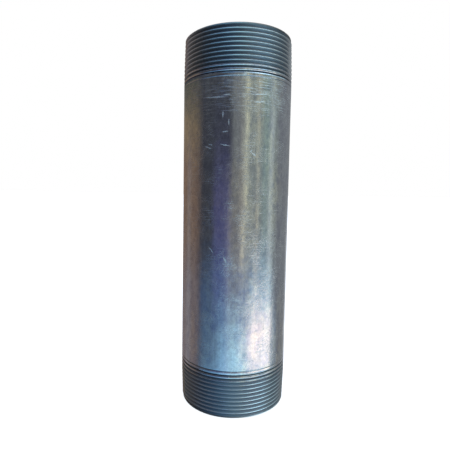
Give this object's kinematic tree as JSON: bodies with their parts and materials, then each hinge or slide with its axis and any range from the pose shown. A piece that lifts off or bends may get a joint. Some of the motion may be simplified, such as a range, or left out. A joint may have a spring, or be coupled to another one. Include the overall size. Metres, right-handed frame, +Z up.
{
  "type": "threaded pipe nipple",
  "caption": "Straight length of galvanised steel pipe with a right-hand taper pipe thread cut on each end, for joining two threaded fittings.",
  "frame": {"origin": "centre of the lower end face, which the pipe stands on", "axes": "+Z up along the pipe's axis; -Y is the side seen from the front"},
  "size_m": [0.0604, 0.0604, 0.2032],
  "materials": {
    "galvanised_steel": "satin zinc coating, dull on the threads"
  },
  "bodies": {
    "root": {"pipe_nipple": "galvanised_steel"}
  },
  "joints": []
}
